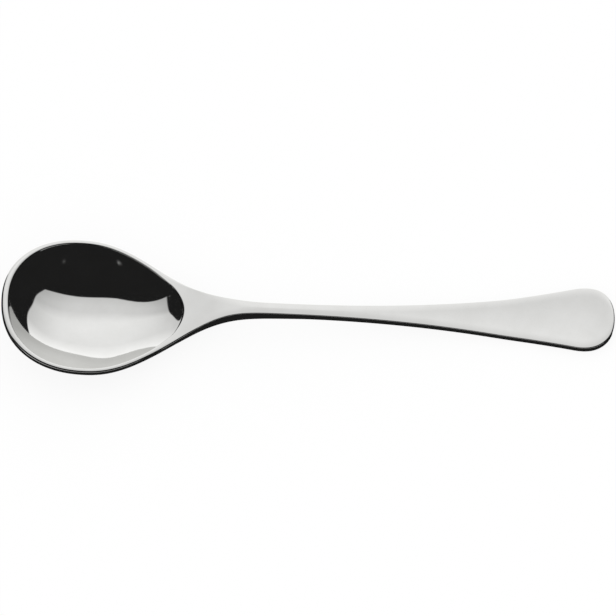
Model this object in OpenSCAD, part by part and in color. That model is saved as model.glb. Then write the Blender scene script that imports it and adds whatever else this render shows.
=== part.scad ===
// Demitasse spoon in two pieces: a pressed bowl, and a handle that is brazed to it with a scarf joint.
// X runs from the tip of the bowl to the end of the handle, Z is up, and the spoon lies on Z = 0.

/* [Spoon] */
// Overall length
spoon_l = 110; // [100:1:125]
// Radius of the edge round the top face
top_r = 0.2; // [0.15:0.05:0.5]
// Radius of the edge round the back
back_r = 0.4; // [0.2:0.05:0.6]

/* [Bowl] */
// Greatest width of the bowl
bowl_w = 26; // [23:0.1:29]
// Distance from the tip to the widest place
widest_at = 14.5; // [13:0.5:16]
// Distance from the tip to the lowest place of the back
lowest_at = 18.5; // [17:0.5:20]
// Distance from the tip to the deepest place of the hollow
deepest_at = 20.8; // [19.5:0.1:22]
// Distance from the tip to the heel end of the hollow
hollow_end = 32.8; // [31.5:0.1:34]
// Length of the rounded heel end of the hollow
heel_round = 2.6; // [2:0.1:3.5]
// Height of the rim above the table at the tip
tip_z = 9.55; // [8:0.05:11]
// Height of the rim above the table at the heel, before the bend there is rounded
heel_z = 4.7; // [4.3:0.05:5.5]
// Width of the rim at the sides
rim_w = 0.85; // [0.7:0.05:1.2]
// Width of the rim at the tip
rim_tip_w = 1.4; // [1.1:0.05:1.7]
// Height of the upright outer edge of the rim
rim_h = 1.5; // [1.2:0.05:1.8]
// Height of the deepest place of the hollow above the table
floor_z = 2.0; // [1.7:0.05:2.3]

/* [Neck] */
// Distance from the tip to the bend at the heel
heel_at = 30.5; // [29.5:0.5:31.5]
// Distance from the tip to the crest of the neck
crest_at = 40.8; // [39.5:0.1:42]
// Height of the crest above the table, before the bend there is rounded
crest_z = 7.0; // [6:0.1:8]
// Thickness of the neck at its crest
neck_t = 3.2; // [2.6:0.05:3.6]
// Distance from the tip to the top line of the scarf joint
scarf_at = 35.5; // [35:0.1:36.5]
// How far the scarf joint runs along the spoon
scarf_run = 3; // [1.5:0.1:4]

/* [Handle] */
// Width of the thin stem
stem_w = 2.2; // [1.8:0.1:3]
// Distance from the tip to the narrowest place
stem_at = 51; // [48:0.5:54]
// Thickness of the stem
stem_t = 2.1; // [1.7:0.05:2.5]
// Width of the flared handle where its rounded end begins
end_w = 11.4; // [9:0.1:13]
// Length of the rounded end
end_round = 7.6; // [6:0.1:9]
// Thickness of the flat end
end_t = 1.8; // [1.4:0.05:2.2]
// Length of the end from the bend at which it turns level
level_l = 19.7; // [18:0.1:24]
// Length of the last stretch, which turns up
lift_l = 5; // [4:0.1:6]
// Height to which the last stretch turns up
lift_z = 0.6; // [0.2:0.05:1]
// Hollow of the top face at the flared end
dish_d = 0.2; // [0.05:0.05:0.3]

/* [Hidden] */

// Powers that shape the tip, the heel, the flare and the rounded end in plan
tip_power = 2.2;
heel_lead = 1.1;
heel_power = 3.72;
flare_power = 2.2;
end_power = 2.2;
// Powers that shape the back of the bowl at its sides and where it runs into the neck
wall_power = 0.9;
neck_power = 1.8;
// How quickly the back turns from the one to the other
turn_power = 4;
// Powers of the hollow's middle line as it rises to the tip and to the heel
tip_rise = 3.4;
heel_rise = 2.6;
// Power of the curve across the hollow, and how much it grows towards the tip
across_power = 2;
across_growth = 0.45;
// Half the length over which each bend is rounded
bend = 4;
// Distance from the scarf joint at which the cross-sections stand upright again
scarf_fade = 6;

// Steps round the tip, along each side, across the scarf, round an edge and from pole to rim
tip_steps = 16;
side_steps = 14;
cross_steps = 8;
edge_steps = 3;
ring_steps = 10;
// Steps along the handle and round its end
stem_steps = 42;
end_steps = 10;

x_tip = -spoon_l / 2;
x_end = spoon_l / 2;
x_wide = x_tip + widest_at;
x_low = x_tip + lowest_at;
x_deep = x_tip + deepest_at;
x_hollow = x_tip + hollow_end - heel_round;
// Both ends of the hollow
hollow_tip = x_tip + rim_tip_w;
hollow_heel = x_tip + hollow_end;
x_heel = x_tip + heel_at;
x_scarf = x_tip + scarf_at;
x_crest = x_tip + crest_at;
x_stem = x_tip + stem_at;
x_round = x_end - end_round;
x_level = x_end - level_l;
// Number of lines along the wall, from the back to the top face
wall_lines = 2 * (edge_steps + 1);
// Small step for slopes
nudge = 0.05;

// Corners of the side view, each with its place, its height and the rounding of its bend
top_line = [
    [x_tip, tip_z, 0],
    [x_heel, heel_z, bend],
    [x_crest, crest_z, bend],
    [x_level, end_t, bend],
    [x_end - lift_l, end_t, bend / 2],
    [x_end, end_t + lift_z, 0],
];
// Corners of the thickness along the spoon
thickness_line = [
    [x_tip, rim_h, 0],
    [x_heel, rim_h, bend / 2],
    [x_crest, neck_t, bend],
    [x_stem + bend, stem_t, bend],
    [x_level - bend, end_t, bend],
    [x_end, end_t, 0],
];

function sum(list) = [for (each_one = list) 1] * list;
function mix(a, b, share) = a + (b - a) * share;

// A line that leaves zero and rises at 45 degrees, with its corner rounded over r each way
function ramp(x, r) =
    let (u = (x + r) / (2 * r))
    u <= 0 ? 0 : u >= 1 ? x : 2 * r * (pow(u, 3) - pow(u, 4) / 2);

// Height at x of a line through corners, with the inner corners rounded
function slope(line, i) = (line[i + 1].y - line[i].y) / (line[i + 1].x - line[i].x);
function height(line, x) =
    line[0].y + slope(line, 0) * (x - line[0].x)
    + sum([for (i = [1 : len(line) - 2])
        (slope(line, i) - slope(line, i - 1)) * ramp(x - line[i].x, line[i].z)]);

function top_z(x) = height(top_line, x);
function back_z(x) = top_z(x) - height(thickness_line, x);

// Half the width of the spoon in plan, from the widest place of the bowl to the start of the round end
function flare(x) = pow((x - x_stem) / (x_round - x_stem), flare_power);
function half_w(x) =
    x < x_stem
    ? mix(stem_w, bowl_w, pow(cos(90 * pow((x - x_wide) / (x_stem - x_wide), heel_lead)), heel_power)) / 2
    : mix(stem_w, end_w, flare(x)) / 2;

// How much longer an inset is across the spoon than square to its slanting edge
function lean(x) = norm([1, (half_w(x + nudge) - half_w(x)) / nudge]);

// Half the width of a line that runs inside the outline
function inset_w(x, inset) = half_w(x) - inset * lean(x);

// A wall line has an inset and a share of the way down from the top face to the back
function wall_inset(line) =
    line <= edge_steps
    ? back_r * (1 - sin(90 * line / edge_steps))
    : top_r * (1 - cos(90 * (line - edge_steps - 1) / edge_steps));
function wall_share(line, thick) =
    line <= edge_steps
    ? 1 - back_r * (1 - cos(90 * line / edge_steps)) / thick
    : top_r * (1 - sin(90 * (line - edge_steps - 1) / edge_steps)) / thick;

// How far the back is behind the top face, which leans the cross-sections over to the scarf joint
function scarf_shift(x) = scarf_run * max(0, 1 - abs(x - x_scarf) / scarf_fade);

// A point of a wall line on the far side, in the cross-section that starts at x on the top face
function wall_point(x, line) =
    let (
        x_back = x + scarf_shift(x),
        top = [x, top_z(x)],
        back = [x_back, back_z(x_back)],
        place = mix(top, back, wall_share(line, top.y - back.y))
    )
    [place.x, inset_w(place.x, wall_inset(line)), place.y];

// A point of a line round the tip, inset from the outline, at an angle from the tip
function tip_x(angle, inset) = x_wide - (widest_at - inset) * pow(cos(angle), 2 / tip_power);
function tip_y(angle, inset) = (bowl_w / 2 - inset) * pow(sin(angle), 2 / tip_power);
function tip_point(angle, line) =
    let (
        x = tip_x(angle, wall_inset(line)),
        share = wall_share(line, top_z(x) - back_z(x))
    )
    [x, tip_y(angle, wall_inset(line)), mix(top_z(x), back_z(x), share)];

// A closed line from its far half, which starts at the tip, and the points that cross over at the scarf
function closed(half, crossing) = concat(
    half,
    crossing,
    [for (i = [len(half) - 1 : -1 : 1]) [half[i].x, -half[i].y, half[i].z]]
);

function wall_loop(line) =
    let (corner = wall_point(x_scarf, line))
    closed(
        concat(
            [for (i = [0 : tip_steps]) tip_point(90 * i / tip_steps, line)],
            [for (i = [1 : side_steps]) wall_point(mix(x_wide, x_scarf, i / side_steps), line)]
        ),
        [for (i = [1 : cross_steps - 1]) [corner.x, corner.y * (1 - 2 * i / cross_steps), corner.z]]
    );

// The edge of the hollow: the rim's inset on the sides, and a rounded end at the heel
function on_top(x, y) = [x, y, top_z(x)];
function heel_point(angle) =
    let (x = x_hollow + heel_round * cos(angle))
    on_top(x, inset_w(x, rim_w) * sin(angle));
hollow_loop = closed(
    concat(
        [for (i = [0 : tip_steps])
            on_top(tip_x(90 * i / tip_steps, rim_tip_w), tip_y(90 * i / tip_steps, rim_w))],
        [for (i = [1 : side_steps])
            let (x = mix(x_wide, x_hollow, i / side_steps))
            on_top(x, inset_w(x, rim_w))]
    ),
    [for (i = [1 : cross_steps - 1]) heel_point(90 - 180 * i / cross_steps)]
);

// Share of the way up from the lowest place, at a share of the way out to an edge
function swell(out, power) = 1 - pow(1 - out * out, power);

// The place in plan at that share of the way, on rings that are circles near the lowest place
function outward(edge, out) =
    let (
        reach = norm([edge.x - x_low, edge.y]),
        share = out * mix(bowl_w / 2, reach, out * out) / reach
    )
    [mix(x_low, edge.x, share), edge.y * share];

// Half the width of the hollow in plan
function hollow_w(x) =
    x < x_wide
    ? (bowl_w / 2 - rim_w) * pow(1 - pow((x_wide - x) / (widest_at - rim_tip_w), tip_power), 1 / tip_power)
    : inset_w(x, rim_w) * sqrt(1 - pow(max(0, x - x_hollow) / heel_round, 2));

// Height of the hollow: a line along its middle, and a curve across it that rises to its edge
function hollow_z(x, y) =
    let (
        to_tip = max(0, x_deep - x) / (x_deep - hollow_tip),
        to_heel = max(0, x - x_deep) / (hollow_heel - x_deep),
        middle = floor_z
            + (top_z(hollow_tip) - floor_z) * pow(to_tip, tip_rise)
            + (top_z(hollow_heel) - floor_z) * pow(to_heel, heel_rise),
        across = min(1, abs(y) / hollow_w(x))
    )
    mix(middle, top_z(x), pow(across, across_power + across_growth * to_tip * to_tip));
function hollow_ring(out) = [
    for (edge = hollow_loop)
        let (p = outward(edge, out))
        [p.x, p.y, hollow_z(p.x, p.y)]
];

// The back is round at the sides and runs out more gently towards the neck
function towards_neck(edge) =
    pow(max(0, edge.x - x_low) / norm([edge.x - x_low, edge.y]), turn_power);
function back_swell(edge, out) =
    mix(swell(out, wall_power), swell(out, neck_power), towards_neck(edge) * out * out);
function back_ring(out) = [
    for (edge = wall_loop(0))
        let (p = outward(edge, out))
        [p.x, p.y, back_z(p.x) * back_swell(edge, out)]
];

// Triangles between two closed lines of points, numbered from the first point of each
function strip(first, second, count) = [
    for (i = [0 : count - 1])
        let (next = (i + 1) % count)
        each [
            [first + i, first + next, second + next],
            [first + i, second + next, second + i],
        ]
];

module bowl() {
    outs = [for (i = [1 : ring_steps - 1]) sin(90 * i / ring_steps)];
    loops = concat(
        [for (out = outs) back_ring(out)],
        [for (line = [0 : wall_lines - 1]) wall_loop(line)],
        [hollow_loop],
        [for (i = [len(outs) - 1 : -1 : 0]) hollow_ring(outs[i])]
    );
    count = len(hollow_loop);
    last = (len(loops) - 1) * count;
    back_pole = len(loops) * count;
    hollow_pole = back_pole + 1;
    points = concat(
        [for (loop = loops) each loop],
        [[x_low, 0, 0], [x_low, 0, hollow_z(x_low, 0)]]
    );
    faces = concat(
        [for (i = [0 : count - 1]) [back_pole, (i + 1) % count, i]],
        [for (i = [0 : len(loops) - 2]) each strip(i * count, (i + 1) * count, count)],
        [for (i = [0 : count - 1]) [last + i, last + (i + 1) % count, hollow_pole]]
    );
    color("gainsboro") polyhedron(points, faces);
}

// The line and the column of each point round a cross-section of the handle
section = concat(
    [for (column = [0 : cross_steps]) [wall_lines - 1, column]],
    [for (line = [wall_lines - 2 : -1 : 1]) [line, cross_steps]],
    [for (column = [cross_steps : -1 : 0]) [0, column]],
    [for (line = [1 : wall_lines - 2]) [line, 0]]
);

// Depth of the dished top face, at a place across it from 1 on the far side to -1 on the near side
function dish(x, across) = x < x_stem ? 0 : dish_d * min(1, flare(x)) * (1 - across * across);

// The points of a cross-section, from the far point of each wall line
function section_points(corners, dished) = [
    for (spot = section)
        let (
            corner = corners[spot[0]],
            across = 1 - 2 * spot[1] / cross_steps,
            depth = spot[0] == wall_lines - 1 ? dished * dish(corner.x, across) : 0
        )
        [corner.x, corner.y * across, corner.z - depth]
];
function stem_section(x) = section_points([for (line = [0 : wall_lines - 1]) wall_point(x, line)], 1);

// A wall line's far point at an angle round the end, where the sections draw in to one upright line
function end_point(angle, line) =
    let (
        inset = wall_inset(line),
        x = x_round + (end_round - inset) * pow(sin(angle), 2 / end_power),
        share = wall_share(line, top_z(x) - back_z(x))
    )
    [x, inset_w(x, inset) * pow(cos(angle), 2 / end_power), mix(top_z(x), back_z(x), share)];
function end_line(angle) = [for (line = [0 : wall_lines - 1]) end_point(angle, line)];

module handle() {
    rows = concat(
        [for (i = [0 : stem_steps]) stem_section(mix(x_scarf, x_round, i / stem_steps))],
        [for (i = [1 : end_steps - 1])
            section_points(end_line(90 * i / end_steps), pow(cos(90 * i / end_steps), 2))]
    );
    count = len(section);
    last = (len(rows) - 1) * count;
    tail = len(rows) * count;
    scarf_middle = tail + wall_lines;
    points = concat(
        [for (row = rows) each row],
        end_line(90),
        [sum(rows[0]) / count]
    );
    closing = [
        for (i = [0 : count - 1])
            let (
                next = (i + 1) % count,
                line = tail + section[i][0],
                next_line = tail + section[next][0]
            )
            each [
                [last + i, line, last + next],
                if (line != next_line) [line, next_line, last + next],
            ]
    ];
    faces = concat(
        [for (i = [0 : count - 1]) [i, (i + 1) % count, scarf_middle]],
        [for (i = [0 : len(rows) - 2]) each strip((i + 1) * count, i * count, count)],
        closing
    );
    color("silver") polyhedron(points, faces);
}

bowl();
handle();
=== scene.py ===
# %% [markdown]
# # A demitasse spoon of polished steel
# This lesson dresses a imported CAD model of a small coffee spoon. The spoon has two pieces, a pressed
# bowl and a handle that is brazed to it at the neck. Each cell makes one thing and prints what it made.

# %% Load the frame
import math
from types import SimpleNamespace

import bpy
import numpy as np
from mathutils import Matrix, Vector


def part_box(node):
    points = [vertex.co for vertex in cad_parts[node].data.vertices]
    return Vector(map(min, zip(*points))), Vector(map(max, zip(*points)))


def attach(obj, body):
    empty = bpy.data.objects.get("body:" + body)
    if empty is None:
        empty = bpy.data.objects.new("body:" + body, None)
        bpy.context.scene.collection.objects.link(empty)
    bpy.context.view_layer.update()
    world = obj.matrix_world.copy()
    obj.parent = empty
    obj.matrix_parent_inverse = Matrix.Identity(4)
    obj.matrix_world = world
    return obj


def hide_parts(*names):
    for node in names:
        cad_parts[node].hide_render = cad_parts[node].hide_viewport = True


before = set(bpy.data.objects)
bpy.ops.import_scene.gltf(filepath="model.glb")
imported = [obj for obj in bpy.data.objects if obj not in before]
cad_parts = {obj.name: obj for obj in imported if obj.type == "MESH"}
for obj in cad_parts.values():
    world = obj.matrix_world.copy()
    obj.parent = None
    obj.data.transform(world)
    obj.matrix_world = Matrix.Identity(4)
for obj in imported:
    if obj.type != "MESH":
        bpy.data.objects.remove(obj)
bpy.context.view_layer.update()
MM = 0.001

# %% [markdown]
# ## The sizes of the spoon
# A mirror shows every flat facet, so the CAD nodes can't be polished as they are. Both pieces are made
# again here from the rules that shape the spoon, with steps so fine that the reflections run smoothly.
# The length and the bowl's width come from the frame, and the rest are the spoon's own dimensions. Most
# names end in a letter: w for a width, t for a thickness, h for a form's own height, z for a height over
# the table, d for a depth and r for a radius.

# %% Sizes
bowl_low, bowl_high = (Vector(corner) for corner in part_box("bowl"))
_, handle_high = (Vector(corner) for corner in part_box("handle"))
X_TIP = bowl_low.x
X_END = handle_high.x

size = SimpleNamespace(
    # Bowl and rim
    bowl_w=bowl_high.y - bowl_low.y,
    rim_w=0.85 * MM,
    rim_h=1.5 * MM,
    bead_w=0.5 * MM,
    bead_h=0.3 * MM,
    brow_r=0.35 * MM,
    floor_z=2.0 * MM,
    heel_round=2.6 * MM,
    tip_z=9.55 * MM,
    heel_z=4.7 * MM,
    # Neck and scarf joint
    crest_z=7.0 * MM,
    neck_t=3.2 * MM,
    scarf_run=3.0 * MM,
    scarf_fade=6.0 * MM,
    # Stem and end of the handle
    stem_w=2.2 * MM,
    stem_t=2.1 * MM,
    end_w=11.4 * MM,
    end_t=1.8 * MM,
    end_round=7.6 * MM,
    lift_h=0.6 * MM,
    dish_d=0.2 * MM,
    shoulder_w=1.2 * MM,
    shoulder_d=0.07 * MM,
    # Edges and bends
    top_r=0.2 * MM,
    end_r=0.45 * MM,
    back_r=0.4 * MM,
    bend=4.0 * MM,
)
print("spoon:", round((X_END - X_TIP) / MM, 1), "mm long, bowl", round(size.bowl_w / MM, 1), "mm wide")

# %% [markdown]
# ## The side view
# From the side a spoon is two lines: its top, which falls from the tip to the heel, climbs over the neck
# and runs down to the flat end, and the thickness under it. A curve object could hold them, but a list of
# corners can be read off a drawing. Each corner is its place, its height and how far its bend reaches.

# %% Side view
X_HEEL = X_TIP + 30.5 * MM
X_CREST = X_TIP + 40.8 * MM
X_STEM = X_TIP + 51.0 * MM
X_LEVEL = X_END - 19.7 * MM
X_LIFT = X_END - 5.0 * MM

TOP_LINE = [
    (X_TIP, size.tip_z, 0),
    (X_HEEL, size.heel_z, size.bend),
    (X_CREST, size.crest_z, size.bend),
    (X_LEVEL, size.end_t, size.bend),
    (X_LIFT, size.end_t, size.bend / 2),
    (X_END, size.end_t + size.lift_h, 0),
]
THICKNESS_LINE = [
    (X_TIP, size.rim_h, 0),
    (X_HEEL, size.rim_h, size.bend / 2),
    (X_CREST, size.neck_t, size.bend),
    (X_STEM + size.bend, size.stem_t, size.bend),
    (X_LEVEL - size.bend, size.end_t, size.bend),
    (X_END, size.end_t, 0),
]
print("side view:", len(TOP_LINE), "corners on top and", len(THICKNESS_LINE), "for the thickness")

# %% [markdown]
# ## Arithmetic that builds nodes
# Node trees get long when every sum is a node that is placed by hand. This small class wraps one output
# of a node, so that a plain expression such as `1 - mask * 0.5` adds its own Math nodes. It serves the
# studio, the steel's shader and the handle's geometry alike.


# %% Node arithmetic
class Wire:
    """One output of a node in a tree, with arithmetic that adds Math nodes."""

    def __init__(self, tree, socket=None):
        self.tree = tree
        self.socket = socket

    def node(self, kind, settings=None, inputs=None, output=0):
        """Adds a node: first its settings, then the values or links of its sockets."""
        made = self.tree.nodes.new(kind)
        for name, value in (settings or {}).items():
            if name == "stops":
                set_stops(made.color_ramp.elements, value)
            else:
                setattr(made, name, value)
        for key, value in (inputs or {}).items():
            if isinstance(value, Wire):
                self.tree.links.new(value.socket, made.inputs[key])
            else:
                made.inputs[key].default_value = value
        return Wire(self.tree, made.outputs[output]) if len(made.outputs) else Wire(self.tree)

    def out(self, name):
        return Wire(self.tree, self.socket.node.outputs[name])

    def math(self, operation, first, second=0.0, clamp=False):
        return self.node(
            "ShaderNodeMath", {"operation": operation, "use_clamp": clamp}, {0: first, 1: second}
        )

    def __add__(self, other):
        return self.math("ADD", self, other)

    def __radd__(self, other):
        return self.math("ADD", other, self)

    def __sub__(self, other):
        return self.math("SUBTRACT", self, other)

    def __rsub__(self, other):
        return self.math("SUBTRACT", other, self)

    def __mul__(self, other):
        return self.math("MULTIPLY", self, other)

    def __rmul__(self, other):
        return self.math("MULTIPLY", other, self)

    def __truediv__(self, other):
        return self.math("DIVIDE", self, other)

    def __rtruediv__(self, other):
        return self.math("DIVIDE", other, self)

    def __pow__(self, other):
        return self.math("POWER", self, other)

    def __rpow__(self, other):
        return self.math("POWER", other, self)


def set_stops(elements, stops):
    """Gives a colour ramp its stops. A new ramp has two already, so only the others are added."""
    for number, (position, colour) in enumerate(stops):
        stop = elements[number] if number < len(elements) else elements.new(position)
        stop.position = position
        stop.color = colour


def empty_tree(owner):
    """Turns on the nodes of a material or a world, clears them and gives a wire to build with."""
    owner.use_nodes = True
    owner.node_tree.nodes.clear()
    return Wire(owner.node_tree)


print("Wire: sums, differences, products, quotients and powers become Math nodes")

# %% [markdown]
# A few functions take a plain number, an array of numbers or a wire. With them a formula is written once,
# and serves for points that Python places and for points that a node tree places.


# %% Functions of numbers or wires
def clamp01(value):
    return value.math("ADD", value, 0.0, clamp=True) if isinstance(value, Wire) else np.clip(value, 0, 1)


def at_least(value, low):
    return value.math("MAXIMUM", value, low) if isinstance(value, Wire) else np.maximum(value, low)


def size_of(value):
    return value.math("ABSOLUTE", value) if isinstance(value, Wire) else np.abs(value)


def sine(turn):
    """Sine of a share of a right angle."""
    angle = turn * (math.pi / 2)
    return angle.math("SINE", angle) if isinstance(turn, Wire) else np.sin(angle)


def cosine(turn):
    """Cosine of a share of a right angle, which is never under zero."""
    return at_least(sine(1 - turn), 0)


def mix(first, second, share):
    return first + (second - first) * share


print("half a right angle: sine", round(float(sine(0.5)), 3), "and cosine", round(float(cosine(0.5)), 3))

# %% [markdown]
# ## The rules of the shape
# A maker thinks of a spoon as an outline, a side view and a thickness. Each is one formula here: straight
# runs with rounded bends for the side view, and a few powers for the outline. The functions take numbers
# or node outputs, so the bowl's mesh and the handle's node tree follow the same rules and meet exactly.

# %% Rules of the shape
X_WIDE = X_TIP + 14.5 * MM
X_SCARF = X_TIP + 35.5 * MM
X_ROUND = X_END - size.end_round
HEEL_LEAD = 1.1
HEEL_POWER = 3.72
FLARE_POWER = 2.2
NUDGE = 0.05 * MM


def rounded_line(line, x):
    """Height at x of a line through corners, with each inner corner rounded over its own bend."""
    slopes = [(b[1] - a[1]) / (b[0] - a[0]) for a, b in zip(line, line[1:])]
    height = line[0][1] + slopes[0] * (x - line[0][0])
    for corner, before, after in zip(line[1:], slopes, slopes[1:]):
        place, _, bend = corner
        rise = clamp01((x - (place - bend)) / (2 * bend))
        ramp = 2 * bend * (rise**3 - rise**4 / 2) + at_least(x - (place + bend), 0)
        height = height + (after - before) * ramp
    return height


def top_z(x):
    return rounded_line(TOP_LINE, x)


def back_z(x):
    return top_z(x) - rounded_line(THICKNESS_LINE, x)


def flare(x):
    """How far the handle has flared, from zero on the stem to one where its rounded end begins."""
    return at_least((x - X_STEM) / (X_ROUND - X_STEM), 0) ** FLARE_POWER


def half_w(x, sizes):
    """Half the width in plan, from the widest place of the bowl to the rounded end."""
    heel = cosine(clamp01((x - X_WIDE) / (X_STEM - X_WIDE)) ** HEEL_LEAD) ** HEEL_POWER
    bowl_share = (sizes.bowl_w - sizes.stem_w) * heel
    end_share = (sizes.end_w - sizes.stem_w) * flare(x)
    return (sizes.stem_w + bowl_share + end_share) / 2


def inset_w(x, inset, sizes):
    """Half the width of a line that runs inside the outline, square to its slanting edge."""
    slope = (half_w(x + NUDGE, sizes) - half_w(x, sizes)) / NUDGE
    return half_w(x, sizes) - inset * (1 + slope**2) ** 0.5


def scarf_shift(x, sizes):
    """How far the back is shifted along against the top: most at the slanted scarf, less away from it."""
    return sizes.scarf_run * at_least(1 - size_of(x - X_SCARF) / sizes.scarf_fade, 0)


heel_height, crest_height = (float(top_z(x)) / MM for x in (X_HEEL, X_CREST))
print("heel", round(heel_height, 2), "mm high, crest", round(crest_height, 2), "mm")

# %% [markdown]
# ## The camera
# The spoon is seen from high in front, with its length across the picture. A long lens keeps the two
# ends the same size. The picture is square, and the camera looks at the point that sits in its middle.

# %% Camera
CAMERA_ELEVATION = math.radians(66)
CAMERA_DISTANCE = 1.0
CLIP_START = 10 * MM
VIEW_WIDTH = 110.8 * MM
LOOK_AT = Vector((-0.17 * MM, 1.685 * MM, 2.4 * MM))

camera_data = bpy.data.cameras.new("camera")
camera_data.sensor_fit = "HORIZONTAL"
camera_data.lens = camera_data.sensor_width * CAMERA_DISTANCE / VIEW_WIDTH
camera_data.clip_start = CLIP_START
camera = bpy.data.objects.new("camera", camera_data)
towards_camera = Vector((0, -math.cos(CAMERA_ELEVATION), math.sin(CAMERA_ELEVATION)))
camera.location = LOOK_AT + CAMERA_DISTANCE * towards_camera
camera.rotation_euler = (math.pi / 2 - CAMERA_ELEVATION, 0, 0)
bpy.context.collection.objects.link(camera)
bpy.context.scene.camera = camera
bpy.context.scene.view_settings.view_transform = "Standard"
print("camera: lens", round(camera_data.lens), "mm")

# %% [markdown]
# ## The studio
# Polished steel has no colour of its own: it shows the room. Here the room is dark, with one wide white
# panel that rises behind the spoon and reaches over it. Area lights could do this too, but a steel mirror
# shows the exact edge of a light, and a rule for each direction of the world draws that edge with a few
# nodes. A direction is told by how far it points across, back and up, and by its height in degrees, from
# 0 at the horizon behind the spoon to 90 overhead and on towards the front.

# %% Directions of the room
DEGREE = math.pi / 180

world = bpy.data.worlds.new("studio")
sky = empty_tree(world)
direction = sky.node("ShaderNodeTexCoord", output="Generated")
axes = sky.node("ShaderNodeSeparateXYZ", inputs={0: direction})
across, back, up = axes, axes.out("Y"), axes.out("Z")
height = sky.math("ARCTAN2", up, back) / DEGREE


def step(value, edge, soft):
    """Zero below an edge and one above it, over a soft width."""
    return clamp01((value - edge) / soft + 0.5)


print("directions:", len(world.node_tree.nodes), "nodes")

# %% [markdown]
# The panel's side edges are bowed, as hung paper is, and its top edge slopes a little and curls up at both
# sides. These edges bound the white patch in the bowl.

# %% Edges of the white panel
PANEL_TOP = 93.7
TOP_CURL = 11.0
TOP_TILT = 6.0
TILT_FADE = 2.0
TOP_SOFT = 1.0
PANEL_LOW = -70.0
LOW_SOFT = 2.0
PANEL_RIGHT = 0.87
RIGHT_BOW = 0.3
RIGHT_MIDDLE = 53
PANEL_LEFT = 0.69
LEFT_BOW = 0.02
LEFT_MIDDLE = 40
BOW_SPAN = 56
BOW_POWER = 4
SIDE_SOFT = 0.012


def side_edge(reach, bow, middle):
    """How far the panel reaches to one side at each height. It reaches furthest at its middle height."""
    off_middle = (at_least(height, 0) - middle) / BOW_SPAN
    return reach - bow * off_middle**BOW_POWER


right = side_edge(PANEL_RIGHT, RIGHT_BOW, RIGHT_MIDDLE)
left = side_edge(PANEL_LEFT, LEFT_BOW, LEFT_MIDDLE)
top = PANEL_TOP + across**2 * TOP_CURL + (across - across**3 * TILT_FADE) * TOP_TILT
inside = step(height, PANEL_LOW, LOW_SOFT) * (1 - step(height - top, 0, TOP_SOFT))
inside = inside * step(across + left, 0, SIDE_SOFT) * (1 - step(across - right, 0, SIDE_SOFT))
print("with the panel's edges:", len(world.node_tree.nodes), "nodes")

# %% [markdown]
# A panel that is lit from below is brightest low down and dimmer overhead and at its sides. A colour ramp
# over the height gives that fall of light, from which the handle and the bowl get their soft greys.

# %% Light of the white panel
# Each stop is a height in degrees and the strength of the light there
PANEL_LIGHT = [
    (-70, 1.05),
    (0, 1.34),
    (10, 1.16),
    (22, 0.99),
    (50, 1.03),
    (58, 1.02),
    (66, 0.92),
    (74, 0.81),
    (84, 0.79),
    (97, 0.68),
]
RAMP_START = -90
RAMP_SPAN = 200
SIDE_FALL = 0.5
SIDE_LEAN = 0.07
ROOM_DARK = 0.014


def ramp_place(degrees):
    return (degrees - RAMP_START) / RAMP_SPAN


panel = sky.node(
    "ShaderNodeValToRGB",
    {"stops": [(ramp_place(degrees), (light, light, light, 1)) for degrees, light in PANEL_LIGHT]},
    {"Fac": ramp_place(height)},
)
room = mix(ROOM_DARK, panel * (1 - across**2 * SIDE_FALL + across * SIDE_LEAN), inside)
print("with the panel's light:", len(world.node_tree.nodes), "nodes")

# %% [markdown]
# A dimmer window stands low in front, so that the steel isn't black for whoever looks from behind. Two
# small lamps hang far off and leave the faint spots in the dark half of the bowl.

# %% Window and lamps
WINDOW_LIGHT = 0.42
WINDOW_TOP = 0.48
WINDOW_TILT = 0.2
WINDOW_LOW = 0.1
WINDOW_SIDE = 0.74
WINDOW_SOFT = 0.02
# Each lamp is a direction and a strength
LAMPS = [((-0.2, -0.63, 0.75), 0.25), ((0.4, -0.63, 0.66), 0.08)]
LAMP_SPREAD = 0.05

window = step(up, WINDOW_LOW, WINDOW_SOFT)
window = window * (1 - step(up + across * WINDOW_TILT, WINDOW_TOP, WINDOW_SOFT))
window = window * (1 - step(back, 0, WINDOW_SOFT))
window = window * (1 - step(size_of(across), WINDOW_SIDE, WINDOW_SOFT))
room = mix(room, WINDOW_LIGHT, window)
for towards, strength in LAMPS:
    apart = sky.node(
        "ShaderNodeVectorMath",
        {"operation": "DISTANCE"},
        {0: direction, 1: Vector(towards).normalized()},
        output="Value",
    )
    glow = clamp01(1 - apart / LAMP_SPREAD)
    room = room + glow * glow * strength
print("with the window and", len(LAMPS), "lamps:", len(world.node_tree.nodes), "nodes")

# %% [markdown]
# Only reflections see this room. Everything else, the background and the light on the floor, gets an even
# white. The Light Path node tells the two apart by the kind of ray, so it works from every side.

# %% World
PALE = 1.0

glossy = sky.node("ShaderNodeLightPath", output="Is Glossy Ray")
shown = mix(PALE, room, glossy)
background = sky.node("ShaderNodeBackground", inputs={"Color": (1, 1, 1, 1), "Strength": shown})
sky.node("ShaderNodeOutputWorld", inputs={"Surface": background})
bpy.context.scene.world = world
print("world:", len(world.node_tree.nodes), "nodes")

# %% [markdown]
# ## The floor
# The spoon lies on a white sheet that melts into the background, with only a trace of shadow. A plain white
# floor would get too dark under the spoon, so most of its brightness is a glow and only a little is
# light that a shadow can take away. It is left out of the reflections, where the dark room shows instead.

# %% Floor
FLOOR_SIZE = 3.0
PAPER_LIT = 0.12
PAPER_GLOW = 0.88
PAPER_ROUGHNESS = 0.9

half_floor = FLOOR_SIZE / 2
floor_mesh = bpy.data.meshes.new("floor")
floor_mesh.from_pydata(
    [(x * half_floor, y * half_floor, 0) for x, y in ((-1, -1), (1, -1), (1, 1), (-1, 1))],
    [],
    [(0, 1, 2, 3)],
)
floor = bpy.data.objects.new("floor", floor_mesh)
bpy.context.collection.objects.link(floor)
floor.visible_glossy = False

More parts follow.
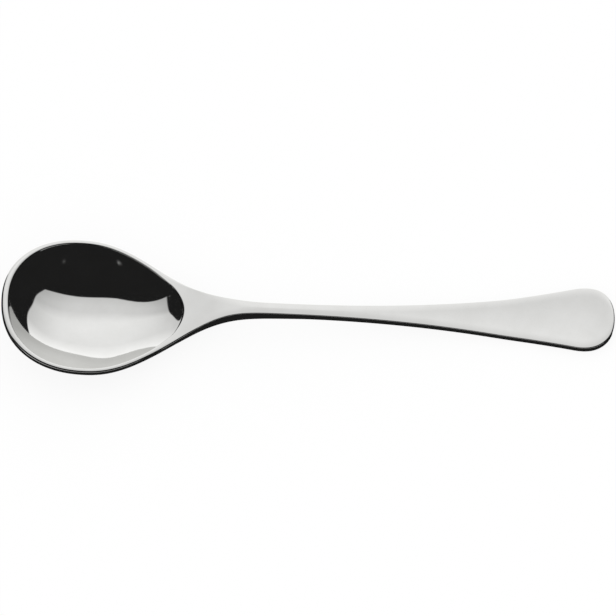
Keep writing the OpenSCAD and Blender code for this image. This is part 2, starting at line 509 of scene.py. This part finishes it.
paper = bpy.data.materials.new("pale_floor")
sheet = empty_tree(paper)
matt = sheet.node(
    "ShaderNodeBsdfPrincipled",
    inputs={
        "Base Color": (PAPER_LIT, PAPER_LIT, PAPER_LIT, 1),
        "Roughness": PAPER_ROUGHNESS,
        "Specular IOR Level": 0.0,
        "Emission Color": (1, 1, 1, 1),
        "Emission Strength": PAPER_GLOW,
    },
)
sheet.node("ShaderNodeOutputMaterial", inputs={"Surface": matt})
floor.data.materials.append(paper)
print("floor:", FLOOR_SIZE, "m square")

# %% [markdown]
# ## The steel
# Polished steel is a metal with a very low roughness. A perfect mirror looks computed, so the finish has
# what buffing leaves: a faint haze that comes and goes, and hairlines along the spoon. Both are noise in
# the piece's own coordinates, and the hairlines are drawn out along the length.

# %% Polished steel
STEEL_COLOUR = (0.8, 0.8, 0.79, 1)
STEEL_SHADE = (0.74, 0.74, 0.725, 1)
HAZE_SCALE = 260
HAZE_DETAIL = 4.0
HAZE_ROUGHNESS = 0.6
HAZE_CONTRAST = 1.6
HAZE_OFFSET = 0.5
HAIRLINE_SCALE = 9000
HAIRLINE_DETAIL = 2.0
HAIRLINE_STRETCH = (0.02, 1, 1)
HAIRLINE_SHARE = 0.3
HAIRLINE_BUMP = 0.02
HAIRLINE_DEPTH = 0.02 * MM
ROUGH_LOW = 0.02
ROUGH_HIGH = 0.06
# A Mix node has sockets of the same name for numbers, vectors and colours, so the colours go by number
MIX_FIRST = 6
MIX_SECOND = 7
MIX_RESULT = 2

steel = bpy.data.materials.new("polished_steel")
finish = empty_tree(steel)
place = finish.node("ShaderNodeTexCoord", output="Object")
haze = finish.node(
    "ShaderNodeTexNoise",
    inputs={"Vector": place, "Scale": HAZE_SCALE, "Detail": HAZE_DETAIL, "Roughness": HAZE_ROUGHNESS},
)
drawn_out = finish.node("ShaderNodeMapping", inputs={"Vector": place, "Scale": HAIRLINE_STRETCH})
hairlines = finish.node(
    "ShaderNodeTexNoise",
    inputs={"Vector": drawn_out, "Scale": HAIRLINE_SCALE, "Detail": HAIRLINE_DETAIL},
)
wear = clamp01(haze * (1 - HAIRLINE_SHARE) + hairlines * HAIRLINE_SHARE)
colour = finish.node(
    "ShaderNodeMix",
    {"data_type": "RGBA"},
    {
        "Factor": clamp01(haze * HAZE_CONTRAST - HAZE_OFFSET),
        MIX_FIRST: STEEL_SHADE,
        MIX_SECOND: STEEL_COLOUR,
    },
    output=MIX_RESULT,
)
fine_bump = finish.node(
    "ShaderNodeBump",
    inputs={"Strength": HAIRLINE_BUMP, "Distance": HAIRLINE_DEPTH, "Height": hairlines},
)
surface = finish.node(
    "ShaderNodeBsdfPrincipled",
    inputs={
        "Base Color": colour,
        "Metallic": 1.0,
        "Roughness": mix(ROUGH_LOW, ROUGH_HIGH, wear),
        "Normal": fine_bump,
    },
)
finish.node("ShaderNodeOutputMaterial", inputs={"Surface": surface})
print("steel:", len(steel.node_tree.nodes), "nodes")

# %% [markdown]
# ## The bowl
# The bowl is pressed in a die, so its surface runs in rings: from the lowest place of the back out to the
# edge, round the edge, over the rim and down into the hollow. A lathe can't make it, because its outline
# is an egg, and a subdivided cage leaves ripples in the reflections. So the mesh is woven from closed lines
# of points, one ring after another. Each line is worked out for the far half and mirrored to the near one.

# %% Bowl outline
TIP_STEPS = 96
SIDE_STEPS = 110
CROSS_STEPS = 24
TIP_POWER = 2.2
TIP_WIDEN = 1.7

tip_turns = np.linspace(0, 1, TIP_STEPS + 1)
side_shares = np.linspace(0, 1, SIDE_STEPS + 1)[1:]
cross_shares = np.linspace(0, 1, CROSS_STEPS + 1)[1:-1]


def tip_line(inset):
    """The far half of the tip in plan, from the tip to the widest place."""
    x = X_WIDE - (X_WIDE - X_TIP - inset * TIP_WIDEN) * cosine(tip_turns) ** (2 / TIP_POWER)
    y = (size.bowl_w / 2 - inset) * sine(tip_turns) ** (2 / TIP_POWER)
    return x, y


def closed_loop(far_half, crossing):
    """A closed line from its far half, the points that cross over, and the mirrored near half."""
    near_half = far_half[:0:-1] * np.array([1, -1, 1])
    return np.vstack([far_half, crossing, near_half])


print("half an outline:", len(tip_turns), "points round the tip and", len(side_shares), "along the side")

# %% [markdown]
# The rim is a soft bead on the outside and a small round brow on the inside. Both are rounder towards the
# tip and round the heel, and the rim widens towards the heel, where the neck begins. A Bevel modifier would
# round every edge alike, so small functions say how the rounding changes along the rim.

# %% Rim
X_HOLLOW_END = X_TIP + 32.5 * MM
X_HOLLOW = X_HOLLOW_END - size.heel_round
TIP_SWELL = 2.2
HEEL_SWELL = 2.0
HEEL_WIDEN = 1.8
HEEL_RIM = 0.5 * MM
HEEL_RIM_RUN = 4.5 * MM
RIM_FADE = 6 * MM
BROW_TURN = 0.55
END_TURN = 0.74
HEEL_REACH = size.heel_round - size.brow_r * sine(END_TURN) * (HEEL_WIDEN - 1)


def rim_fade(x):
    """The bead of the rim turns into the plain edge of the handle over the neck."""
    return clamp01((X_SCARF - x) / RIM_FADE)


def towards_ends(x):
    """Shares of the way to the tip and to the heel end of the hollow, squared for a soft start."""
    to_tip = clamp01((X_WIDE - x) / (X_WIDE - X_TIP))
    to_heel = clamp01((x - X_HOLLOW) / HEEL_REACH)
    return to_tip**2, to_heel**2


def rim_swell(x):
    """How much deeper the rounding of the rim is towards the tip and round the heel."""
    to_tip, to_heel = towards_ends(x)
    return 1 + (TIP_SWELL - 1) * to_tip + (HEEL_SWELL - 1) * to_heel


def brow_end(x):
    """How far the brow turns down, as a share of a right angle."""
    to_tip, to_heel = towards_ends(x)
    return mix(BROW_TURN, END_TURN, to_tip + to_heel)


def heel_rim(x):
    """How much wider the rim gets towards the heel."""
    return HEEL_RIM * clamp01((x - X_HOLLOW) / HEEL_RIM_RUN + 1) ** 2


print("rim:", round(size.rim_w / MM, 2), "mm wide,", round(HEEL_RIM / MM, 2), "mm more at the heel")

# %% [markdown]
# The outer edge is a stack of closed lines, each at its own inset and depth. Behind the heel they run on
# along the neck, where the bowl's short shank ends in the slanted face of the scarf joint.

# %% Outer edge of the bowl
EDGE_STEPS = 8
edge_turns = np.linspace(0, 1, EDGE_STEPS + 1)


def wall_loop(inset, depth):
    """A line round the outer edge, from its inset and its depth under the top face."""
    x, y = tip_line(inset(X_TIP))
    tip = np.column_stack([x, y, top_z(x) - depth(x, top_z(x) - back_z(x))])
    top_x = mix(X_WIDE, X_SCARF, side_shares)
    back_x = top_x + scarf_shift(top_x, size)
    thick = top_z(top_x) - back_z(back_x)
    share = depth(top_x, thick) / thick
    x = mix(top_x, back_x, share)
    y = inset_w(x, inset(top_x), size)
    side = np.column_stack([x, y, mix(top_z(top_x), back_z(back_x), share)])
    far_half = np.vstack([tip, side])
    corner_x, corner_y, corner_z = far_half[-1]
    crossing = [(corner_x, corner_y * (1 - 2 * share), corner_z) for share in cross_shares]
    return closed_loop(far_half, crossing)


def back_edge(turn):
    """A quarter circle between the back and the outer edge."""
    return wall_loop(
        lambda x: size.back_r * (1 - sine(turn)),
        lambda x, thick: thick - size.back_r * (1 - cosine(turn)),
    )


def bead_height(x):
    return mix(size.top_r, size.bead_h, rim_fade(x)) * rim_swell(np.minimum(x, X_HOLLOW))


def top_edge(turn):
    """The outer half of the rim's bead, a quarter of an ellipse."""
    return wall_loop(
        lambda x: mix(size.top_r, size.bead_w, rim_fade(x)) * (1 - cosine(turn)),
        lambda x, thick: bead_height(x) * (1 - sine(turn)),
    )


wall_loops = [back_edge(turn) for turn in edge_turns] + [top_edge(turn) for turn in edge_turns]
print("outer edge:", len(wall_loops), "lines of", len(wall_loops[0]), "points")

# %% [markdown]
# The brow is where the rim bends down into the hollow. Its lines follow the outline at the tip and along
# the sides, and close in half an ellipse at the heel.


# %% Brow of the rim
def brow_loop(share):
    """A line round the brow, at a share of the way over it."""

    def bend(x):
        """How far the line lies outside the end of the brow, and how far under the top."""
        turn = brow_end(x)
        reach = size.brow_r * (sine(turn) - sine(turn * share))
        drop = size.brow_r * (1 - cosine(turn * share)) * rim_swell(x)
        return reach, drop

    reach, drop = bend(tip_line(size.rim_w)[0])
    x, y = tip_line(size.rim_w - reach)
    tip = np.column_stack([x, y, top_z(x) - drop])
    x = mix(X_WIDE, X_HOLLOW, side_shares)
    reach, drop = bend(x)
    y = inset_w(x, size.rim_w - reach + heel_rim(x), size)
    side = np.column_stack([x, y, top_z(x) - drop])
    heel_turns = np.sin(np.pi * cross_shares)
    reach, drop = bend(X_HOLLOW + HEEL_REACH * heel_turns)
    x = X_HOLLOW + (HEEL_REACH + reach * HEEL_WIDEN) * heel_turns
    y = inset_w(x, size.rim_w - reach + heel_rim(x), size) * np.cos(np.pi * cross_shares)
    heel = np.column_stack([x, y, top_z(x) - drop])
    return closed_loop(np.vstack([tip, side]), heel)


brow_loops = [brow_loop(share) for share in edge_turns]
print("brow:", len(brow_loops), "lines")

# %% [markdown]
# The back of the bowl swells like an egg and runs out into the neck. Its rings are circles near the lowest
# place, and turn into the outline on the way out. They rise by one power of the way out, and by a flatter
# one towards the neck.

# %% Back of the bowl
X_LOW = X_TIP + 18.5 * MM
WALL_POWER = 0.9
NECK_POWER = 1.8
TURN_POWER = 4
RING_STEPS = 64
ring_shares = sine(np.linspace(0, 1, RING_STEPS + 1)[1:-1])


def swell(out, power):
    """Share of the way up from the lowest place, at a share of the way out to the edge."""
    return 1 - (1 - out**2) ** power


def outward(loop, out):
    """Places in plan at a share of the way out to a line, and how much each way out points ahead."""
    arm = loop[:, :2] - np.array([X_LOW, 0])
    reach = np.linalg.norm(arm, axis=1)
    share = out * mix(size.bowl_w / 2, reach, out**2) / reach
    return arm * share[:, None] + np.array([X_LOW, 0]), arm[:, 0] / reach


def back_ring(out):
    plan, ahead = outward(wall_loops[0], out)
    to_neck = np.maximum(ahead, 0) ** TURN_POWER * out**2
    rise = mix(swell(out, WALL_POWER), swell(out, NECK_POWER), to_neck)
    return np.column_stack([plan, back_z(plan[:, 0]) * rise])


back_rings = [back_ring(out) for out in ring_shares]
print("back:", len(back_rings), "rings")

# %% [markdown]
# The hollow has a rule of its own: a line along its middle falls from the tip to the deepest place and
# rises to the heel, and at each place along it a curve climbs to the edge on both sides. A smooth formula
# matters here more than anywhere, because the hollow mirrors the room and itself.

# %% Hollow of the bowl
X_DEEP = X_TIP + 20.6 * MM
HOLLOW_TIP = X_TIP + size.rim_w * TIP_WIDEN
HOLLOW_HEEL = X_HOLLOW + HEEL_REACH
TIP_RISE = 3.42
HEEL_RISE = 2.55
ACROSS_POWER = 1.95
TIP_GROWTH = 0.16
HEEL_GROWTH = -0.32
TINY = NUDGE / 100


def hollow_edge(x):
    """Height of the lower end of the brow."""
    return top_z(x) - size.brow_r * (1 - cosine(brow_end(x))) * rim_swell(x)


def hollow_w(x):
    """Half the width of the hollow in plan."""
    to_tip = clamp01((X_WIDE - x) / (X_WIDE - HOLLOW_TIP))
    to_heel = clamp01((x - X_HOLLOW) / HEEL_REACH)
    tip = (size.bowl_w / 2 - size.rim_w) * (1 - to_tip**TIP_POWER) ** (1 / TIP_POWER)
    side = inset_w(x, size.rim_w + heel_rim(x), size)
    return np.where(x < X_WIDE, tip, side * (1 - to_heel**2) ** 0.5)


def hollow_z(x, y):
    """Height of the hollow: a line along its middle, and a curve across that rises to its edge."""
    to_tip = clamp01((X_DEEP - x) / (X_DEEP - HOLLOW_TIP))
    to_heel = clamp01((x - X_DEEP) / (HOLLOW_HEEL - X_DEEP))
    middle = size.floor_z + (hollow_edge(HOLLOW_TIP) - size.floor_z) * to_tip**TIP_RISE
    middle = middle + (hollow_edge(HOLLOW_HEEL) - size.floor_z) * to_heel**HEEL_RISE
    off_middle = clamp01(np.abs(y) / at_least(hollow_w(x), TINY))
    power = ACROSS_POWER + TIP_GROWTH * to_tip**2 + HEEL_GROWTH * to_heel
    return mix(middle, hollow_edge(x), off_middle**power)


def hollow_ring(out):
    plan, _ = outward(brow_loops[-1], out)
    return np.column_stack([plan, hollow_z(plan[:, 0], plan[:, 1])])


hollow_rings = [hollow_ring(out) for out in ring_shares[::-1]]
print("hollow:", len(hollow_rings), "rings")

# %% [markdown]
# Between the bead and the brow lies the flat land of the rim, which opens out into the top of the neck.
# Then all rings are stacked from the back to the hollow and woven into one closed mesh, with a pole at each
# end. The mesh gets its steel here, because it has no modifier to bring one.

# %% Bowl mesh
LAND_STEPS = 16
land_shares = sine(np.linspace(0, 1, LAND_STEPS + 1)[1:-1]) ** 2


def land_ring(share):
    """A line on top of the rim and the neck, between the bead and the brow."""
    plan = mix(wall_loops[-1], brow_loops[0], share)[:, :2]
    return np.column_stack([plan, top_z(plan[:, 0])])


def woven_mesh(name, loops, first_pole, last_pole):
    """A closed mesh from rings of points and a pole at each end."""
    count = len(loops[0])
    points = np.vstack(loops + [[first_pole], [last_pole]])
    start = np.arange(count)
    ahead = (start + 1) % count
    faces = []
    for ring in range(len(loops) - 1):
        here, there = ring * count, (ring + 1) * count
        faces += np.column_stack([here + start, there + start, there + ahead, here + ahead]).tolist()
    end = (len(loops) - 1) * count
    pole = len(loops) * count
    faces += [(pole, int(a), int(b)) for a, b in zip(start, ahead)]
    faces += [(pole + 1, int(end + b), int(end + a)) for a, b in zip(start, ahead)]
    mesh = bpy.data.meshes.new(name)
    mesh.from_pydata(points.tolist(), [], faces)
    mesh.validate()
    return mesh


land_rings = [land_ring(share) for share in land_shares]
bowl_rings = back_rings + wall_loops + land_rings + brow_loops + hollow_rings
back_pole = (X_LOW, 0, 0)
hollow_pole = (X_LOW, 0, float(hollow_z(X_LOW, 0.0)))
bowl_mesh = woven_mesh("bowl_shell", bowl_rings, back_pole, hollow_pole)
bowl_mesh.materials.append(steel)
print("bowl:", len(bowl_mesh.vertices), "points,", len(bowl_mesh.polygons), "faces")

# %% [markdown]
# ## The handle
# The handle is forged and ground: a rounded bar that thins to a stem and flares to a flat end. Its
# cross-section follows a rule at every place along its length, which is what Geometry Nodes are good at.
# First the tree gets a named input for each size that someone may want to change.

# %% Handle inputs
knob_values = {
    "Stem width": ("stem_w", size.stem_w),
    "End width": ("end_w", size.end_w),
    "Round end": ("end_round", size.end_round),
    "Dish": ("dish_d", size.dish_d),
    "Shoulder width": ("shoulder_w", size.shoulder_w),
    "Shoulder drop": ("shoulder_d", size.shoulder_d),
    "Top edge radius": ("top_r", size.top_r),
    "End edge radius": ("end_r", size.end_r),
    "Back edge radius": ("back_r", size.back_r),
    "Scarf run": ("scarf_run", size.scarf_run),
}
tree = bpy.data.node_groups.new("handle_rule", "GeometryNodeTree")
tree.interface.new_socket("Geometry", in_out="OUTPUT", socket_type="NodeSocketGeometry")
for label in knob_values:
    tree.interface.new_socket(label, in_out="INPUT", socket_type="NodeSocketFloat")
tree.interface.new_socket("Material", in_out="INPUT", socket_type="NodeSocketMaterial")

bench = Wire(tree)
knobs = bench.node("NodeGroupInput")
handle_size = SimpleNamespace(**vars(size))
for label, (name, _) in knob_values.items():
    setattr(handle_size, name, knobs.out(label))
print("handle inputs:", ", ".join(knob_values))

# %% [markdown]
# A flat grid is bent into the handle: one way runs along its length, and the other way round its section.
# A row number tells how far along a point lies. A column number tells on which stretch of the section it
# is: the top face, an edge, the near wall, an edge, the back, an edge, the far wall or the last edge.

# %% Handle grid
STEM_STEPS = 230
END_STEPS = 48
FACE_STEPS = 32
WALL_STEPS = 6

# One row is the middle of the scarf face, the next its edge, and the rest run to the end of the handle
row_count = STEM_STEPS + END_STEPS + 2
stretch_steps = [FACE_STEPS, EDGE_STEPS, WALL_STEPS, EDGE_STEPS] * 2
column_count = sum(stretch_steps)
grid = bench.node(
    "GeometryNodeMeshGrid",
    inputs={"Size X": 1.0, "Size Y": 1.0, "Vertices X": row_count, "Vertices Y": column_count + 1},
)
# The grid is one unit wide and centred, so half a unit makes its places start at zero
spot = bench.node("ShaderNodeSeparateXYZ", inputs={0: bench.node("GeometryNodeInputPosition")})
row = (spot + 0.5) * (row_count - 1)
column = (spot.out("Y") + 0.5) * column_count

done = []
begin = 0
for steps in stretch_steps:
    done.append(clamp01((column - begin) / steps))
    begin += steps
top_face, near_top, near_wall, near_back, back_face, far_back, far_wall, far_top = done
along = clamp01((row - 1) / STEM_STEPS)
turn = clamp01((row - 1 - STEM_STEPS) / END_STEPS)
print("handle grid:", row_count, "rows of", column_count, "points")

# %% [markdown]
# Each point's place in the section is an inset from the outline and a depth under the top, with a quarter
# circle at each edge. The end is a rounded outline that draws the section in, and the middle of the flared
# end is dished a little, as a thumb rest is.

# %% Handle section
END_POWER = 2.2

back_r = handle_size.back_r
top_r = mix(handle_size.top_r, handle_size.end_r, sine(turn) ** 2)
side = 1 - 2 * top_face + 2 * back_face
inset = top_r * (2 - sine(near_top) - cosine(far_top))
inset = inset + back_r * (1 - cosine(near_back) - sine(far_back))

reach = (handle_size.end_round - inset) * sine(turn) ** (2 / END_POWER)
draw_in = cosine(turn) ** (2 / END_POWER)
start_x = mix(X_SCARF, X_ROUND, along)
top_x = start_x + reach
back_x = top_x + scarf_shift(start_x, handle_size)
thick = top_z(top_x) - back_z(back_x)
wall = thick - top_r - back_r
depth = top_r * (1 - cosine(near_top) - sine(far_top)) + wall * (near_wall - far_wall)
depth = depth + back_r * (sine(near_back) - 1 + cosine(far_back))
share = depth / thick
x = mix(top_x, back_x, share)
half = inset_w(x, inset, handle_size) * draw_in
dish = handle_size.dish_d * clamp01(flare(x)) * (1 - side**2) * (1 - near_top) * draw_in**2
print("handle section:", len(tree.nodes), "nodes so far")

# %% [markdown]
# Grinding and buffing also round the top face over towards its edge, a few hundredths of a millimetre that
# only the reflections show. The gap to the edge comes from the gaps along x and y. The first row of the
# grid is drawn in to one point, which closes the scarf face.

# %% Handle surface
SHOULDER_FADE = 8 * MM
GAP_FLOOR = NUDGE / 10

gap_x = X_END - top_r - top_x + GAP_FLOOR
gap_y = half * (1 - size_of(side)) + GAP_FLOOR
gap = gap_x * gap_y / (gap_x**2 + gap_y**2) ** 0.5
grow = clamp01((start_x - X_SCARF) / SHOULDER_FADE)
roll = handle_size.shoulder_d * at_least(1 - gap / handle_size.shoulder_w, 0) ** 2 * grow
z = mix(top_z(top_x), back_z(back_x), share) - dish - roll * (1 - near_wall + far_wall)

open_row = clamp01(row)
middle_x = X_SCARF + handle_size.scarf_run / 2
middle_z = (top_z(X_SCARF) + back_z(X_SCARF + handle_size.scarf_run)) / 2
shaped = bench.node(
    "ShaderNodeCombineXYZ",
    inputs={
        0: mix(middle_x, x, open_row),
        1: side * half * open_row,
        2: mix(middle_z, z, open_row),
    },
)
bent = bench.node("GeometryNodeSetPosition", inputs={"Geometry": grid, "Position": shaped})
closed = bench.node("GeometryNodeMergeByDistance", inputs={"Geometry": bent, "Distance": TINY})
outward_faces = bench.node("GeometryNodeFlipFaces", inputs={"Mesh": closed})
realised = bench.node("GeometryNodeRealizeInstances", inputs={"Geometry": outward_faces})
dressed = bench.node(
    "GeometryNodeSetMaterial", inputs={"Geometry": realised, "Material": knobs.out("Material")}
)
bench.node("NodeGroupOutput", inputs={"Geometry": dressed})
print("handle tree:", len(tree.nodes), "nodes")

# %% [markdown]
# The tree runs on an empty seed object. Its inputs are set by their identifiers before the seed is first
# evaluated. The result is kept as a plain mesh.

# %% Handle mesh
seed = bpy.data.objects.new("handle_seed", bpy.data.meshes.new("handle_seed"))
bpy.context.collection.objects.link(seed)
rule = seed.modifiers.new("handle_rule", "NODES")
rule.node_group = tree
for item in tree.interface.items_tree:
    if item.in_out == "INPUT":
        rule[item.identifier] = steel if item.name == "Material" else knob_values[item.name][1]
bpy.context.view_layer.update()
evaluated = seed.evaluated_get(bpy.context.evaluated_depsgraph_get())
handle_mesh = bpy.data.meshes.new_from_object(evaluated)
handle_mesh.name = "handle_bar"
bpy.data.objects.remove(seed)
print("handle:", len(handle_mesh.vertices), "points,", len(handle_mesh.polygons), "faces")

# %% [markdown]
# ## Putting the pieces in the frame
# Each mesh already lies where the CAD node is. It rides on the spoon's one body and stands in for the
# node. Only the edges of the scarf faces are sharp, so a small angle parts them from the rounded edges.

# %% Pieces
SHARP_ANGLE = math.radians(22)


def piece(name, mesh, node):
    mesh.shade_smooth()
    mesh.set_sharp_from_angle(angle=SHARP_ANGLE)
    made = bpy.data.objects.new(name, mesh)
    bpy.context.collection.objects.link(made)
    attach(made, "root")
    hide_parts(node)
    corners = np.array(made.bound_box) / MM
    print(name, "from", corners.min(axis=0).round(2), "to", corners.max(axis=0).round(2), "mm")


piece("polished_bowl", bowl_mesh, "bowl")
piece("polished_handle", handle_mesh, "handle")

# %% [markdown]
